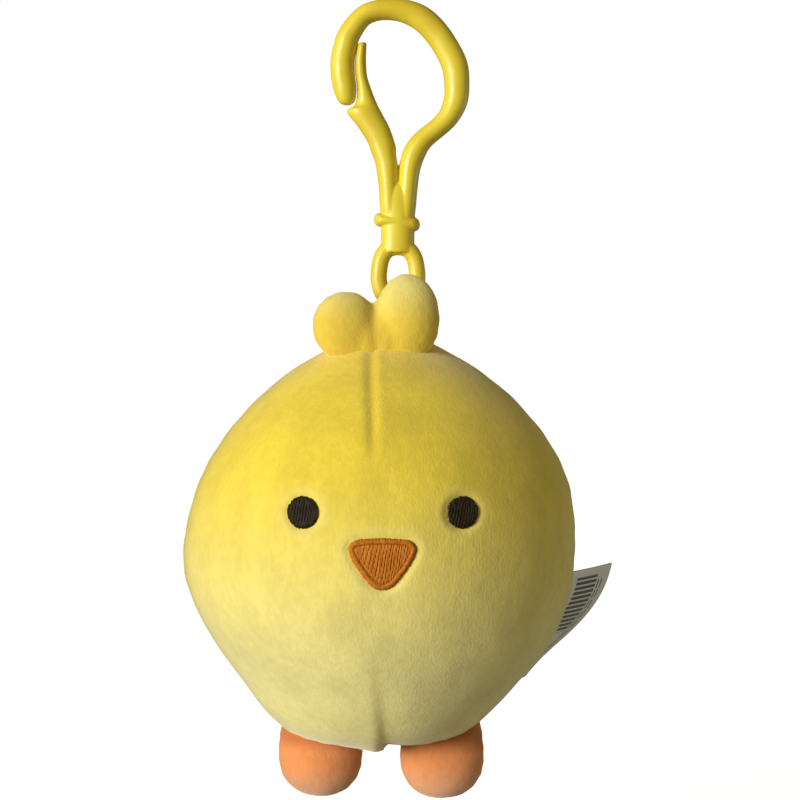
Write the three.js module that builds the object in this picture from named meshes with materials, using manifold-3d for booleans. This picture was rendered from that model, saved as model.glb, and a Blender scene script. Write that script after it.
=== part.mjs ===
// A plush chick keychain: a stuffed chick that hangs by a sewn-in ribbon from a moulded snap hook.
// Millimetres. +Z is up and -Y is the chick's face. The origin is the top inside of the hook's bow,
// where a ring or strap bears on it. Left and right are as seen from the front.

import * as THREE from "three";
import { mergeVertices } from "three/addons/utils/BufferGeometryUtils.js";
import Module from "manifold-3d";

const wasm = await Module();
wasm.setup();

// ---- driving dimensions ----

const FIT_GAP = 0.3; // between pieces that touch on the real object
const WELD = 1e-3; // corners closer than this are one corner
const CUT_REACH = 100; // longer than the whole object is deep

const HOOK_DEPTH = 2.25; // half of the clip's thickness, front to back
const GATE_DEPTH = 2.2; // half thicknesses of the gate's arm and of its thin tongue
const TONGUE_DEPTH = 1.6;
const GATE_PIVOT = { x: 0.5, z: -27.55 };
const GATE_FOOT_RADIUS = 2.1;
const STEM_X = 2.62;
const COLLAR = { x: 2.45, z: -38.4, length: 8.9, radius: 1.5 };
const COLLAR_TILT = THREE.MathUtils.degToRad(7); // its right end is the lower one
const EYE = { x: 2.66, top: -46.66, bottom: -49.87, radius: 3.58, wire: 1.57 };

const RIBBON_WIDTH = 2.2;
const RIBBON_BEND = 2.3; // inside radius where the ribbon goes round the clip's eye
const RIBBON_THICK = 0.55;
const RIBBON_STRAIGHT = 1.6; // it runs this far straight down past the wire, and then leans
const CROWN = { x: 0.8, z: -58.6 }; // where the ribbon flexes, just above the crown seam
const RIBBON_END = -58.0;
const RIBBON_FOOT = 0.7; // half of the closed fold's thickness at its lower end
const TAIL = { top: -59.0, bottom: -63.0, thick: 1.3 };
const SLOT_RISE = 5; // the stuffing's slot for the tail runs on up past the crown

const BODY_DEPTH_SHARE = 0.9; // the body's depth against its width
const PILE_FABRIC = 1.2; // short-pile fabric, backing and pile together
const TRIM_FABRIC = 1.0; // the same fabric on the tuft and feet, pulled tighter
const STUFFING_GAP = 0.6;
const SEAM_SIDE = THREE.MathUtils.degToRad(92);
const SEAM_SWEEP = THREE.MathUtils.degToRad(30); // how far the side seams swing back, low down
const SEAM_SWEEP_FROM = -103;
const SEAM_SWEEP_TO = -130;
const BODY_COLUMNS = 36;
const BODY_ROWS = 17;
const CROWN_ROW = 0.028; // how far down the profile the panels start, round the ribbon
const BASE_ROW = 0.985;

const TUFT_Y = -7.4;
const TUFT_LOBES = [
  { x: -7.1, z: -58.4, width: 6.6, depth: 4.4, height: 6.7 },
  { x: 4.5, z: -57.0, width: 6.7, depth: 4.4, height: 8.7 },
  { x: -1.4, z: -60.5, width: 7.0, depth: 3.8, height: 5.2 }, // the base that joins the two
];

const FEET = { left: { x: -12.0, bottom: -147.4 }, right: { x: 11.0, bottom: -147.8 } };
// A foot's shape from top to toe: height above its lowest point, half width, half depth.
const FOOT_STATIONS = [
  [16, 7.4, 4.2],
  [12, 7.8, 4.9],
  [7.6, 8.0, 5.7],
  [4.6, 7.4, 5.5],
  [2.2, 5.8, 4.4],
  [0.7, 3.5, 2.7],
  [0, 1.2, 1.0],
];
const FOOT_SIDES = 16;
const THINNEST = 0.2; // a foot's inside never closes up below this half size

const THREAD_LIFT = 0.35; // clearance under the embroidery
const THREAD_TOP = 0.85;
const EYE_SPOT = { x: 14, z: -92, radius: 2.7 }; // round, the left one mirrors the right
const BEAK = { x: 0, z: -99.5 };
const BEAK_WINDOW = 0.72; // the border's window, as a share of the beak
const BEAK_FILL = 0.66; // the fill stays inside the window

const LABEL = { from: -105, to: -128.5, width: 15, thick: 0.4 };
const LABEL_BOW = 0.75; // how much of the seam's curve shows again in the free edge
const LABEL_OUT = new THREE.Vector3(0.58, 0.81, 0.06).normalize();
const CLOSING = { x: -0.8, from: -104, to: -121, width: 0.6 }; // the hand-sewn closing; half width

// ---- materials ----

function finish(color, roughness) {
  return new THREE.MeshStandardMaterial({ color, roughness, metalness: 0 });
}

const yellowPlastic = finish(0xf4da4e, 0.25);
const yellowPlush = finish(0xf0d75a, 0.95);
const orangePlush = finish(0xeb9c60, 0.95);
const stuffing = finish(0xf5f3ee, 1);
const blackThread = finish(0x2a1f10, 0.6);
const orangeThread = finish(0xb4611c, 0.5);
const ribbon = finish(0xe6c84a, 0.7);
const labelSatin = finish(0xf2f0ea, 0.6);
const yellowThread = finish(0xdcc24c, 0.7);

// ---- solids from geometry, and back ----

function solidOf(geometry) {
  const bare = geometry.clone();
  bare.deleteAttribute("normal");
  bare.deleteAttribute("uv");
  const merged = mergeVertices(bare, WELD);
  const vertProperties = merged.attributes.position.array;
  const triVerts = new Uint32Array(merged.index.array);
  return new wasm.Manifold(new wasm.Mesh({ numProp: 3, vertProperties, triVerts }));
}

function geometryOf(solid) {
  const { vertProperties, triVerts } = solid.getMesh();
  const geometry = new THREE.BufferGeometry();
  geometry.setAttribute("position", new THREE.BufferAttribute(vertProperties, 3));
  geometry.setIndex(new THREE.BufferAttribute(triVerts, 1));
  geometry.computeVertexNormals();
  return geometry;
}

// A closed body from points and triangles, turned to face outwards.
function closedBody(points, triangles) {
  const corner = (i) => points[triangles[i]];
  let volume = 0;
  for (let i = 0; i < triangles.length; i += 3) {
    volume += corner(i).dot(corner(i + 1).clone().cross(corner(i + 2)));
  }
  const geometry = new THREE.BufferGeometry().setFromPoints(points);
  geometry.setIndex(volume < 0 ? triangles.toReversed() : triangles);
  return solidOf(geometry);
}

// A body through a row of rings. An open row is closed to the middle of each end ring.
function loft(rings, loops = false) {
  const sides = rings[0].length;
  const points = rings.flat();
  const triangles = [];
  const spans = loops ? rings.length : rings.length - 1;
  for (let i = 0; i < spans; i += 1) {
    const here = i * sides;
    const next = ((i + 1) % rings.length) * sides;
    for (let j = 0; j < sides; j += 1) {
      const k = (j + 1) % sides;
      triangles.push(here + j, here + k, next + k, here + j, next + k, next + j);
    }
  }
  if (!loops) {
    const ends = [rings[0], rings.at(-1)];
    ends.forEach((ring, end) => {
      const middle = ring.reduce((sum, p) => sum.add(p), new THREE.Vector3());
      const hub = points.push(middle.divideScalar(sides)) - 1;
      const first = end === 0 ? 0 : (rings.length - 1) * sides;
      for (let j = 0; j < sides; j += 1) {
        const edge = [first + j, first + ((j + 1) % sides)];
        triangles.push(hub, ...(end === 0 ? edge.reverse() : edge));
      }
    });
  }
  return closedBody(points, triangles);
}

// A thin body between two patches of the same grid, outer(u, v) and inner(u, v), u and v from 0 to 1.
function slab(outer, inner, across, along) {
  const points = [];
  const at = (side, i, j) => side * (across + 1) * along.length + j * (across + 1) + i;
  [outer, inner].forEach((patch) => {
    along.forEach((v) => {
      for (let i = 0; i <= across; i += 1) points.push(patch(i / across, v));
    });
  });
  const triangles = [];
  const quad = (a, b, c, d) => triangles.push(a, b, c, a, c, d);
  const last = along.length - 1;
  for (let j = 0; j < last; j += 1) {
    for (let i = 0; i < across; i += 1) {
      quad(at(0, i, j), at(0, i + 1, j), at(0, i + 1, j + 1), at(0, i, j + 1));
      quad(at(1, i, j + 1), at(1, i + 1, j + 1), at(1, i + 1, j), at(1, i, j));
    }
    quad(at(1, 0, j), at(0, 0, j), at(0, 0, j + 1), at(1, 0, j + 1));
    quad(at(0, across, j), at(1, across, j), at(1, across, j + 1), at(0, across, j + 1));
  }
  for (let i = 0; i < across; i += 1) {
    quad(at(1, i, 0), at(1, i + 1, 0), at(0, i + 1, 0), at(0, i, 0));
    quad(at(0, i, last), at(0, i + 1, last), at(1, i + 1, last), at(1, i, last));
  }
  return closedBody(points, triangles);
}

function box(x, y, z) {
  const size = (range) => range[1] - range[0];
  const middle = (range) => (range[0] + range[1]) / 2;
  const geometry = new THREE.BoxGeometry(size(x), size(y), size(z));
  return solidOf(geometry.translate(middle(x), middle(y), middle(z)));
}

function ellipsoid(x, y, z, width, depth, height) {
  const geometry = new THREE.SphereGeometry(1, 16, 10).rotateX(Math.PI / 2);
  return solidOf(geometry.scale(width, depth, height).translate(x, y, z));
}

// ---- the moulded clip ----

// One ring of a bar that runs in the clip's plane, square to the direction (dx, dz).
function barRing(x, z, dx, dz, radius, depth, sides) {
  const length = Math.hypot(dx, dz);
  return Array.from({ length: sides }, (_, j) => {
    const turn = (2 * Math.PI * j) / sides;
    const out = (radius * Math.cos(turn)) / length;
    return new THREE.Vector3(x + out * dz, depth * Math.sin(turn), z - out * dx);
  });
}

// A bar through stations of [x, z, radius in the clip's plane, half depth].
function bar(stations, steps, sides = 10) {
  const line = new THREE.SplineCurve(stations.map(([x, z]) => new THREE.Vector2(x, z)));
  const size = new THREE.SplineCurve(stations.map(([, , r, d]) => new THREE.Vector2(r, d)));
  const rings = Array.from({ length: steps + 1 }, (_, i) => {
    const p = line.getPoint(i / steps);
    const d = line.getTangent(i / steps);
    const s = size.getPoint(i / steps);
    return barRing(p.x, p.y, d.x, d.y, s.x, s.y, sides);
  });
  return loft(rings);
}

function hookBow() {
  const deep = HOOK_DEPTH;
  return bar(
    [
      [-7.05, -15.95, 0.65, 0.8],
      [-7.05, -15.1, 1.65, 1.9],
      [-7.35, -13.3, 2.1, deep],
      [-7.8, -10.6, 2.3, deep],
      [-7.85, -7.6, 2.3, deep],
      [-7.4, -5.3, 2.25, deep],
      [-6.65, -2.85, 2.15, deep],
      [-4.4, 0.3, 1.95, deep],
      [-2.1, 1.6, 1.95, deep],
      [0.75, 2.0, 2.0, deep],
      [3.8, 1.7, 2.2, deep],
      [6.75, 0.5, 2.4, deep],
      [9.3, -1.7, 2.45, deep],
      [11.6, -4.85, 2.45, deep],
      [13.4, -8.55, 2.5, deep],
      [13.85, -12.25, 2.4, deep],
      [13.6, -15.4, 2.3, deep],
      [12.35, -18.2, 2.05, deep],
      [10.65, -20.1, 1.9, deep],
      [8.45, -21.9, 1.9, deep],
      [7.0, -23.3, 2.0, deep],
      [5.75, -25.3, 2.15, deep],
      [4.95, -27.9, 2.05, deep],
      [4.55, -31.4, 1.9, deep],
      [4.2, -36.5, 1.9, deep],
    ],
    52,
  );
}

function hookStem() {
  const stem = bar(
    [
      [STEM_X + 0.1, -31.0, 3.7, HOOK_DEPTH],
      [STEM_X, -34.5, 3.45, HOOK_DEPTH],
      [STEM_X, -39.0, 3.2, HOOK_DEPTH],
      [STEM_X, -43.6, 3.15, HOOK_DEPTH],
    ],
    6,
  );
  const gateRoot = bar(
    [
      [0.5, -27.6, 2.1, HOOK_DEPTH],
      [0.9, -31.5, 1.9, HOOK_DEPTH],
      [1.2, -35.5, 2.0, HOOK_DEPTH],
    ],
    4,
  );
  return stem.add(gateRoot);
}

function hookCollar() {
  const straight = COLLAR.length - 2 * COLLAR.radius;
  const geometry = new THREE.CapsuleGeometry(COLLAR.radius, straight, 3, 12);
  geometry.rotateZ(Math.PI / 2).rotateY(COLLAR_TILT);
  return solidOf(geometry.translate(COLLAR.x, 0, COLLAR.z));
}

// The eye is a closed wire: two half circles joined by short straights.
function hookEye() {
  const halfSteps = 10;
  const centres = [];
  for (let i = 0; i <= 2 * halfSteps + 1; i += 1) {
    const low = i > halfSteps;
    const turn = -Math.PI / 2 + (Math.PI * (low ? i - 1 : i)) / halfSteps;
    const across = EYE.x + EYE.radius * Math.sin(turn);
    const height = (low ? EYE.bottom : EYE.top) + EYE.radius * Math.cos(turn);
    centres.push([across, height]);
  }
  const count = centres.length;
  const rings = centres.map(([x, z], i) => {
    const [nextX, nextZ] = centres[(i + 1) % count];
    const [lastX, lastZ] = centres[(i + count - 1) % count];
    return barRing(x, z, nextX - lastX, nextZ - lastZ, EYE.wire, EYE.wire, 10);
  });
  return loft(rings, true);
}

function acrossTheClip(radius, halfLength) {
  const geometry = new THREE.CylinderGeometry(radius, radius, 2 * halfLength, 24);
  return solidOf(geometry.translate(GATE_PIVOT.x, 0, GATE_PIVOT.z));
}

function clipHook() {
  const moulding = hookBow().add(hookStem()).add(hookCollar()).add(hookEye());
  return moulding.subtract(acrossTheClip(GATE_FOOT_RADIUS + FIT_GAP, HOOK_DEPTH + 1));
}

// The gate is a thick spring arm that steps down to a thin tongue inside the nose.
function clipGate() {
  const arm = bar(
    [
      [GATE_PIVOT.x, GATE_PIVOT.z, 2.1, GATE_DEPTH],
      [-0.1, -24.7, 2.25, GATE_DEPTH],
      [-0.85, -22.4, 2.35, GATE_DEPTH],
      [-2.35, -19.6, 2.6, GATE_DEPTH],
      [-3.7, -17.65, 3.1, GATE_DEPTH],
      [-3.3, -15.3, 1.65, TONGUE_DEPTH],
      [-3.75, -12.9, 1.25, TONGUE_DEPTH],
      [-4.25, -10.6, 1.0, TONGUE_DEPTH],
      [-4.4, -7.8, 0.92, TONGUE_DEPTH],
      [-4.2, -5.7, 0.82, TONGUE_DEPTH],
      [-4.05, -4.5, 0.45, 0.9],
    ],
    30,
  );
  return arm.add(acrossTheClip(GATE_FOOT_RADIUS, GATE_DEPTH));
}

// ---- the ribbon ----

// The fold round the eye's wire, seen from the side and drawn out to the ribbon's width. Both sides
// run straight down past the wire, and then lean across to the crown as they close up.
function hangingLoop() {
  const pivotZ = EYE.bottom - EYE.radius;
  const drop = pivotZ - RIBBON_END;
  const side = (bend, top, foot, end) => {
    const share = (RIBBON_STRAIGHT - top) / (end - top);
    return [THREE.MathUtils.lerp(bend, foot, share), -RIBBON_STRAIGHT];
  };
  const outside = RIBBON_BEND + RIBBON_THICK;
  const outerTop = 0.2;
  const [outerY, outerZ] = side(outside, outerTop, RIBBON_FOOT, drop);
  const fold = new THREE.Shape();
  fold.moveTo(RIBBON_FOOT, -drop);
  fold.lineTo(outerY, outerZ);
  fold.lineTo(outside, -outerTop);
  fold.absarc(0, 0, outside, 0, Math.PI, false);
  fold.lineTo(-outside, -outerTop);
  fold.lineTo(-outerY, outerZ);
  fold.lineTo(-RIBBON_FOOT, -drop);
  const innerTop = 0.1;
  const innerEnd = drop - RIBBON_FOOT;
  const [innerY, innerZ] = side(RIBBON_BEND, innerTop, 0, innerEnd);
  const inside = new THREE.Path();
  inside.moveTo(0, -innerEnd);
  inside.lineTo(innerY, innerZ);
  inside.lineTo(RIBBON_BEND, -innerTop);
  inside.absarc(0, 0, RIBBON_BEND, 0, Math.PI, false);
  inside.lineTo(-RIBBON_BEND, -innerTop);
  inside.lineTo(-innerY, innerZ);
  fold.holes.push(inside);
  const options = { depth: RIBBON_WIDTH, bevelEnabled: false, curveSegments: 8 };
  const geometry = new THREE.ExtrudeGeometry(fold, options);
  geometry.translate(0, 0, -RIBBON_WIDTH / 2);
  const lean = (EYE.x - CROWN.x) / (drop - RIBBON_STRAIGHT);
  const place = geometry.attributes.position;
  for (let i = 0; i < place.count; i += 1) {
    const [y, z, x] = [place.getX(i), place.getY(i), place.getZ(i)];
    place.setXYZ(i, EYE.x + x + lean * Math.min(z + RIBBON_STRAIGHT, 0), y, pivotZ + z);
  }
  return solidOf(geometry);
}

function hangingLoopTail() {
  const half = RIBBON_WIDTH / 2;
  const thick = [-TAIL.thick / 2, TAIL.thick / 2];
  return box([CROWN.x - half, CROWN.x + half], thick, [TAIL.bottom, TAIL.top]);
}

// ---- the body ----

// The body's outline from crown to base, as [half width, middle across, height].
const bodyProfile = new THREE.CatmullRomCurve3(
  [
    [0, 0.7, -59.4],
    [5.5, 0.5, -60.3],
    [12, 0.2, -63.1],
    [19.1, 0.2, -67.6],
    [24.6, 0.3, -72.4],
    [30.5, 0.3, -79.4],
    [34.7, 0, -87.2],
    [36.7, -0.6, -95.5],
    [36.9, -1, -103.5],
    [35.3, -0.6, -111],
    [31.5, -0.1, -118.5],
    [26.2, -0.4, -125.2],
    [21.2, -1, -131.2],
    [16.3, -0.9, -135],
    [9, -0.5, -136.9],
    [0, -0.3, -137.4],
  ].map(([halfWidth, middle, height]) => new THREE.Vector3(halfWidth, middle, height)),
);

const bodyRows = [
  CROWN_ROW,
  ...Array.from({ length: BODY_ROWS - 1 }, (_, i) => (i + 1) / BODY_ROWS),
  BASE_ROW,
];

// A point of the body's surface, moved out of it by an offset. Angle 0 is the front.
function bodyPoint(angle, t, offset) {
  const p = bodyProfile.getPoint(t);
  const d = bodyProfile.getTangent(t);
  const length = Math.hypot(d.x, d.z);
  const outward = offset * (-d.z / length);
  const upward = offset * (d.x / length);
  const across = (p.x + outward) * Math.sin(angle);
  const deep = (p.x * BODY_DEPTH_SHARE + outward) * Math.cos(angle);
  return new THREE.Vector3(p.y + across, -deep, p.z + upward);
}

function bodySolid(offset, columns = BODY_COLUMNS) {
  const rings = bodyRows.map((t) =>
    Array.from({ length: columns }, (_, i) => bodyPoint((2 * Math.PI * i) / columns, t, offset)),
  );
  return loft(rings);
}

// The angle of the side seams at a height: at the side above, swinging back lower down.
function seamAngle(height) {
  const low = THREE.MathUtils.smoothstep(-height, -SEAM_SWEEP_FROM, -SEAM_SWEEP_TO);
  return SEAM_SIDE + SEAM_SWEEP * low;
}

// A panel of pile fabric between two angles, each a function of the row.
function bodyPanel(fromAngle, toAngle, columns) {
  const patch = (offset) => (u, t) => {
    const p = bodyProfile.getPoint(t);
    const gap = FIT_GAP / 2 / Math.max(p.x - PILE_FABRIC, 1);
    const from = fromAngle(p.z) + gap;
    const to = toAngle(p.z) - gap;
    return bodyPoint(from + (to - from) * u, t, offset);
  };
  return slab(patch(0), patch(-PILE_FABRIC), columns, bodyRows);
}

function bodyStuffing() {
  const half = RIBBON_WIDTH / 2 + FIT_GAP;
  const thick = TAIL.thick / 2 + FIT_GAP;
  const slotZ = [TAIL.bottom - FIT_GAP, TAIL.top + SLOT_RISE];
  const slot = box([CROWN.x - half, CROWN.x + half], [-thick, thick], slotZ);
  return bodySolid(-PILE_FABRIC - STUFFING_GAP, 24).subtract(slot);
}

const bodyAndGap = bodySolid(FIT_GAP);

// ---- the tuft ----

function tuftLobes(inset) {
  const lobes = TUFT_LOBES.map(({ x, z, width, depth, height }) =>
    ellipsoid(x, TUFT_Y, z, width - inset, depth - inset, height - inset),
  );
  return lobes.reduce((whole, lobe) => whole.add(lobe));
}

// The front or back half of a shell that stands on the body, split at the seam's plane.
function halfShell(outer, inner, seamY, side) {
  const near = seamY + (side * FIT_GAP) / 2;
  const reach = seamY + side * CUT_REACH;
  const keep = box(
    [-CUT_REACH, CUT_REACH],
    [Math.min(near, reach), Math.max(near, reach)],
    [-2 * CUT_REACH, CUT_REACH],
  );
  return outer.subtract(inner).intersect(keep).subtract(bodyAndGap);
}

// ---- the feet ----

// A pouch with a round toe, drawn up into the body's base. Insets give its inside.
function footPouch({ x, bottom }, inset) {
  const rings = FOOT_STATIONS.map(([height, width, depth]) =>
    Array.from({ length: FOOT_SIDES }, (_, j) => {
      const turn = (2 * Math.PI * j) / FOOT_SIDES;
      const across = Math.max(width - inset, THINNEST) * Math.sin(turn);
      const deep = Math.max(depth - inset, THINNEST) * Math.cos(turn);
      return new THREE.Vector3(x + across, -deep, bottom + height + inset);
    }),
  );
  return loft(rings);
}

// ---- the embroidery ----

// A flat outline in front of the body, wrapped on it as a thin layer of thread.
const threadLayer = bodySolid(THREAD_TOP).subtract(bodySolid(THREAD_LIFT));

function embroider(shape, facing = 1) {
  const options = { depth: CUT_REACH / 2, bevelEnabled: false, curveSegments: 10 };
  const prism = new THREE.ExtrudeGeometry(shape, options);
  return solidOf(prism.rotateX((facing * Math.PI) / 2)).intersect(threadLayer);
}

function eyeShape(side) {
  const shape = new THREE.Shape();
  shape.absarc(side * EYE_SPOT.x, EYE_SPOT.z, EYE_SPOT.radius, 0, 2 * Math.PI);
  return shape;
}

// The right half of a plain rounded triangle, tip down, from its tip to its top.
const beakHalf = [
  [0, -6],
  [2, -5.2],
  [3.8, -3.1],
  [5.4, -0.6],
  [6, 1.4],
  [5, 2.7],
  [2.8, 3.1],
  [0, 3.2],
];
const mirroredHalf = beakHalf.slice(1, -1).map(([x, z]) => [-x, z]);
const beakPoints = [...beakHalf, ...mirroredHalf.reverse()];

function closedSpline(points, shape, shrink = 1) {
  const middle = new THREE.Vector2();
  const corners = points.map(([x, z]) => new THREE.Vector2(x, z));
  corners.forEach((p) => middle.addScaledVector(p, 1 / corners.length));
  corners.forEach((p) => p.sub(middle).multiplyScalar(shrink).add(middle));
  const line = new THREE.CatmullRomCurve3(
    corners.map((p) => new THREE.Vector3(BEAK.x + p.x, BEAK.z + p.y, 0)),
    true,
  );
  const smooth = line.getPoints(3 * corners.length);
  return shape.setFromPoints(smooth.slice(0, -1).map((p) => new THREE.Vector2(p.x, p.y)));
}

function beakBorder() {
  const shape = closedSpline(beakPoints, new THREE.Shape());
  shape.holes.push(closedSpline(beakPoints, new THREE.Path(), BEAK_WINDOW));
  return embroider(shape);
}

function beakFill() {
  return embroider(closedSpline(beakPoints, new THREE.Shape(), BEAK_FILL));
}

// ---- the label and the closing ----

// Its inner edge follows the right side seam; it stands out behind the body's side.
function careLabel() {
  const rowAt = (height) => {
    let row = 0.5;
    for (let step = 0.25; step > 1e-4; step /= 2) {
      row += bodyProfile.getPoint(row).z > height ? step : -step;
    }
    return row;
  };
  const edge = (v) => {
    const height = THREE.MathUtils.lerp(LABEL.from, LABEL.to, v);
    return bodyPoint(seamAngle(height), rowAt(height), 0);
  };
  const along = edge(1).sub(edge(0)); // down the seam
  const face = along.cross(LABEL_OUT).normalize();
  const patch = (side) => (u, v) => {
    const straight = edge(0).lerp(edge(1), v);
    return edge(v)
      .lerp(straight, u * (1 - LABEL_BOW))
      .addScaledVector(LABEL_OUT, 2 * FIT_GAP + LABEL.width * u)
      .addScaledVector(face, (side * LABEL.thick) / 2);
  };
  return slab(patch(1), patch(-1), 2, [0, 0.25, 0.5, 0.75, 1]);
}

function closingStitches() {
  const { x, from, to, width } = CLOSING;
  const shape = new THREE.Shape();
  shape.moveTo(x - width, -to);
  shape.lineTo(x + width, -to);
  shape.lineTo(x + width, -from);
  shape.lineTo(x - width, -from);
  return embroider(shape, -1);
}

// ---- the assembly ----

const keychain = new THREE.Group();

function place(name, solid, material) {
  const mesh = new THREE.Mesh(geometryOf(solid), material.clone());
  mesh.name = name;
  keychain.add(mesh);
}

place("clip_hook", clipHook(), yellowPlastic);
place("clip_gate", clipGate(), yellowPlastic);
place("hanging_loop", hangingLoop(), ribbon);
place("hanging_loop_tail", hangingLoopTail(), ribbon);

const leftSeam = (height) => -seamAngle(height);
const leftSeamFromBehind = (height) => 2 * Math.PI - seamAngle(height);
const backSeam = () => Math.PI;
place("body_front_panel", bodyPanel(leftSeam, seamAngle, 20), yellowPlush);
place("body_back_right_panel", bodyPanel(seamAngle, backSeam, 9), yellowPlush);
place("body_back_left_panel", bodyPanel(backSeam, leftSeamFromBehind, 9), yellowPlush);
place("body_stuffing", bodyStuffing(), stuffing);

const tuft = [tuftLobes(0), tuftLobes(TRIM_FABRIC)];
place("tuft_front_panel", halfShell(...tuft, TUFT_Y, -1), yellowPlush);
place("tuft_back_panel", halfShell(...tuft, TUFT_Y, 1), yellowPlush);
place("tuft_stuffing", tuftLobes(TRIM_FABRIC + FIT_GAP).subtract(bodyAndGap), stuffing);

Object.entries(FEET).forEach(([side, foot]) => {
  const pouch = [footPouch(foot, 0), footPouch(foot, TRIM_FABRIC)];
  const filling = footPouch(foot, TRIM_FABRIC + FIT_GAP).subtract(bodyAndGap);
  place(`${side}_foot_front_panel`, halfShell(...pouch, 0, -1), orangePlush);
  place(`${side}_foot_back_panel`, halfShell(...pouch, 0, 1), orangePlush);
  place(`${side}_foot_stuffing`, filling, stuffing);
});

place("left_eye_embroidery", embroider(eyeShape(-1)), blackThread);
place("right_eye_embroidery", embroider(eyeShape(1)), blackThread);
place("beak_border", beakBorder(), orangeThread);
place("beak_fill", beakFill(), orangeThread);
place("care_label", careLabel(), labelSatin);
place("closing_stitches", closingStitches(), yellowThread);

export default keychain;
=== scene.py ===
"""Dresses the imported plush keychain: a stuffed chick that hangs by a ribbon from a moulded snap hook.

Metres, +Z up, -Y is the chick's face, and the origin is the top inside of the hook's bow.
Lists of places are in millimetres, as in the part's own source, and are scaled by MM.
"""

import math
import random

import bmesh
import bpy
import numpy as np
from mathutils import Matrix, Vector, noise
from mathutils.bvhtree import BVHTree


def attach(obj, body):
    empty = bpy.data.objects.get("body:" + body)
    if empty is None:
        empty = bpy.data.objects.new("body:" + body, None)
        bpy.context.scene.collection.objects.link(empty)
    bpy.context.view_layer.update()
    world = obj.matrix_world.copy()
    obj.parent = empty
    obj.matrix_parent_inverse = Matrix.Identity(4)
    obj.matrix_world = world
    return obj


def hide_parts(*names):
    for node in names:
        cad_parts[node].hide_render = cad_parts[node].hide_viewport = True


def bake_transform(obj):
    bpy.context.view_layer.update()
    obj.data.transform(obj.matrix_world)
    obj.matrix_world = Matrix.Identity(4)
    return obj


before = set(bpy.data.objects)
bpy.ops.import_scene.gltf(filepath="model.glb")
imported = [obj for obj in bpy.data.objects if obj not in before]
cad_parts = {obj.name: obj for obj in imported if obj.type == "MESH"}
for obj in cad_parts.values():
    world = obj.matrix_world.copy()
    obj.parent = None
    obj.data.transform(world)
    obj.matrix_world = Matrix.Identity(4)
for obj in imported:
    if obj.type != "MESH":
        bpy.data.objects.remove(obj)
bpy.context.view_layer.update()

MM = 0.001

# ---- the view, the floor and the light ----

CAMERA_AT = (3.04, -400.0, -72.2)
FRAME_WIDTH = 152.0  # what the picture spans across, at the object
SENSOR = 36.0
FLOOR_Z = -163.0  # the toy hangs a little above the floor
FLOOR_SIZE = 4.0  # metres
FLOOR_GLOW = 0.86  # lifts the floor to the white of the backdrop where the camera sees it
FLOOR_BOUNCE = 0.5
KEY_LIGHT = 3.05
KEY_FROM = (-0.6, -0.56, 0.05)  # metres; low, in front and to the left
KEY_ANGLE = 28
FILL_LIGHT = 0.17
FILL_COLOR = (1.0, 0.9, 0.5, 1)  # warm, as light that has already bounced about in the pile
LOW_LIGHT = 0.42  # a soft lamp low on the left
LOW_FROM = (-0.34, -0.22, -0.15)
RIM_LIGHT = 0.2  # and a faint one behind on the right
RIM_FROM = (0.42, 0.08, -0.07)
LAMP_SIZE = 0.2

# ---- the body ----

# The outline from crown to base, as [half width, middle across, height].
BODY_PROFILE = [
    [0, 0.7, -59.4],
    [5.5, 0.5, -60.3],
    [12, 0.2, -63.1],
    [19.1, 0.2, -67.6],
    [24.6, 0.3, -72.4],
    [30.5, 0.3, -79.4],
    [34.7, 0, -87.2],
    [36.7, -0.6, -95.5],
    [36.9, -1, -103.5],
    [35.3, -0.6, -111],
    [31.5, -0.1, -118.5],
    [26.2, -0.4, -125.2],
    [21.2, -1, -131.2],
    [16.3, -0.9, -135],
    [9, -0.5, -136.9],
    [0, -0.3, -137.4],
]
BODY_DEPTH_SHARE = 0.9
BODY_CENTRE = (-0.3, 0.0, -100.0)
SEAM_SIDE = math.radians(92)
SEAM_SWEEP = math.radians(30)
SEAM_SWEEP_SPAN = (-103.0, -130.0)
TOP_DART = [[-2.6, -61.5], [-2.3, -70.0], [-1.9, -78.0], [-1.8, -85.5]]  # [x, z]
BOTTOM_FOLD = [[-1.8, -114.0], [-1.2, -121.0], [-0.6, -128.0], [-0.1, -133.0], [0.1, -137.3]]
HEM_Z = -135.0  # the fold's left flap hangs lower than its right one below here
SEAM_ENDS = (-59.6, -137.2)
SEAM_DEPTH = 0.6
DART_DEPTH = 0.5
FOLD_STEP = 0.5
HOLLOW_DEPTH = 0.55  # how far the embroidery pulls the fabric in

# ---- the tuft and the feet ----

TUFT_Y = -7.4
TUFT_LOBES = [  # centre x, centre z, half width, half depth, half height
    [-7.1, -58.4, 6.6, 4.4, 6.7],
    [4.4, -57.0, 6.45, 4.4, 8.7],
    [-1.4, -60.5, 7.0, 3.8, 5.2],
]
TUFT_VALLEY = [[-2.0, -53.0], [-1.9, -56.5], [-1.6, -60.0], [-1.3, -63.5]]  # x, z
FEET = {"left": (-12.0, -147.4), "right": (11.0, -147.8)}  # x, and lowest z
FOOT_STATIONS = [  # height above the toe, half width, half depth
    [17, 6.9, 4.0],
    [12, 7.8, 4.9],
    [7.6, 8.0, 5.7],
    [4.6, 7.4, 5.5],
    [2.2, 5.8, 4.4],
    [0.7, 3.5, 2.7],
    [0, 0.4, 0.3],
]

# ---- the face ----

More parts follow.
